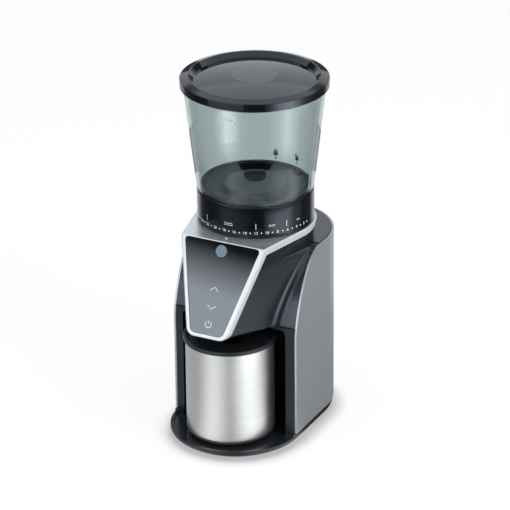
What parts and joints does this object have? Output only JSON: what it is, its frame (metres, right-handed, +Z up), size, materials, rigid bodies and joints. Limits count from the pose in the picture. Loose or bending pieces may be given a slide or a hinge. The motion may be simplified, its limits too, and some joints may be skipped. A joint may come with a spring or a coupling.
{
  "type": "burr coffee grinder",
  "caption": "Upright burr coffee grinder: smoked bean hopper on a turning grind dial, leaning touch panel, gear-driven conical burrs and a steel grounds cup in an open bay.",
  "frame": {"origin": "on the table, under the middle of the outline", "axes": "+Z up, -Y is the front with the panel and the cup, +X is the user's right"},
  "size_m": [0.132, 0.182, 0.3315],
  "materials": {
    "lid_black": "polished black moulding",
    "seal_silicone": "soft grey silicone",
    "hopper_clear": "smoked clear plastic, polished",
    "floor_grey": "dark grey moulding",
    "dial_black": "high-gloss black moulding",
    "trim_silver": "satin silver paint",
    "panel_glass": "dark printed glass",
    "body_black": "gloss black moulding",
    "frame_black": "fine-grained black moulding",
    "shell_grey": "metallic grey paint",
    "cup_steel": "turned and brushed stainless",
    "foot_rubber": "matt rubber",
    "burr_steel": "ground hardened steel",
    "shaft_steel": "bright turned steel",
    "gear_nylon": "natural nylon",
    "inner_plastic": "plain moulding",
    "plate_aluminium": "die-cast plate",
    "board_green": "glass-epoxy board",
    "copper": "turned copper alloy",
    "magnet": "sintered ferrite",
    "carbon": "pressed carbon"
  },
  "bodies": {
    "body": {"grind_chamber": "inner_plastic", "coffee_chute": "inner_plastic", "idler_pin": "shaft_steel", "lower_gear_plate": "plate_aluminium", "upper_gear_plate": "plate_aluminium", "gear_spacers": "shaft_steel", "gear_screws": "shaft_steel", "lower_bearing": "copper", "upper_bearing": "copper", "motor_can": "burr_steel", "motor_end_cap": "inner_plastic", "motor_magnets": "magnet", "motor_brushes": "carbon", "detent_spring": "shaft_steel", "safety_switch": "inner_plastic", "trim_bezel": "trim_silver", "touch_panel": "panel_glass", "touch_board": "board_green", "head_housing": "body_black", "bay_frame": "frame_black", "bay_roof": "frame_black", "rear_shell": "shell_grey", "deck_cover": "body_black", "power_board": "board_green", "board_capacitor": "inner_plastic", "board_relay": "inner_plastic", "cord_gland": "foot_rubber", "base_tray": "body_black", "base_plate": "frame_black", "base_screws": "shaft_steel", "rubber_feet": "foot_rubber"},
    "dial": {"grind_ring": "dial_black"},
    "carrier": {"burr_carrier": "inner_plastic", "ring_burr": "burr_steel"},
    "hopper": {"bean_hopper": "hopper_clear", "hopper_floor": "floor_grey"},
    "lid": {"hopper_lid": "lid_black", "lid_seal": "seal_silicone"},
    "burr_drive": {"burr_shaft": "shaft_steel", "cone_burr": "burr_steel", "feed_cone": "inner_plastic", "sweeper": "inner_plastic", "main_gear": "gear_nylon"},
    "idler": {"idler_gear": "gear_nylon"},
    "rotor": {"motor_shaft": "shaft_steel", "motor_armature": "burr_steel", "motor_commutator": "copper", "motor_pinion": "shaft_steel"},
    "cup": {"grounds_cup": "cup_steel"},
    "cup_cover": {"cup_lid": "frame_black"}
  },
  "joints": [
    {"name": "grind_adjust", "type": "hinge", "parent": "body", "child": "dial", "pos_m": [0, 0.0105, 0.21], "axis": [0, 0, 1], "range_deg": [-86.4, 86.4]},
    {"name": "burr_lift", "type": "slide", "parent": "body", "child": "carrier", "axis": [0, 0, 1], "range_m": [-0.00095, 0.00095]},
    {"name": "hopper_twist", "type": "hinge", "parent": "dial", "child": "hopper", "pos_m": [0, 0.0105, 0.25], "axis": [0, 0, 1], "range_deg": [0, 27]},
    {"name": "lid_lift", "type": "slide", "parent": "hopper", "child": "lid", "axis": [0, 0, 1], "range_m": [0, 0.06]},
    {"name": "motor_spin", "type": "hinge", "parent": "body", "child": "rotor", "pos_m": [0, 0.0385, 0.08], "axis": [0, 0, 1], "continuous": true},
    {"name": "idler_spin", "type": "hinge", "parent": "body", "child": "idler", "pos_m": [0.02442, 0.02959, 0.13], "axis": [0, 0, 1], "continuous": true},
    {"name": "burr_spin", "type": "hinge", "parent": "body", "child": "burr_drive", "pos_m": [0, 0.0105, 0.15], "axis": [0, 0, 1], "continuous": true},
    {"name": "cup_slide", "type": "slide", "parent": "body", "child": "cup", "axis": [0, -1, 0], "range_m": [0, 0.13]},
    {"name": "cup_lid_lift", "type": "slide", "parent": "cup", "child": "cup_cover", "axis": [0, 0, 1], "range_m": [0, 0.007]}
  ],
  "couplings": [
    {"joint": "burr_lift", "follows": "grind_adjust", "m_per_rad": 0.0006},
    {"joint": "idler_spin", "follows": "motor_spin", "ratio": -0.25},
    {"joint": "burr_spin", "follows": "motor_spin", "ratio": 0.072917}
  ]
}
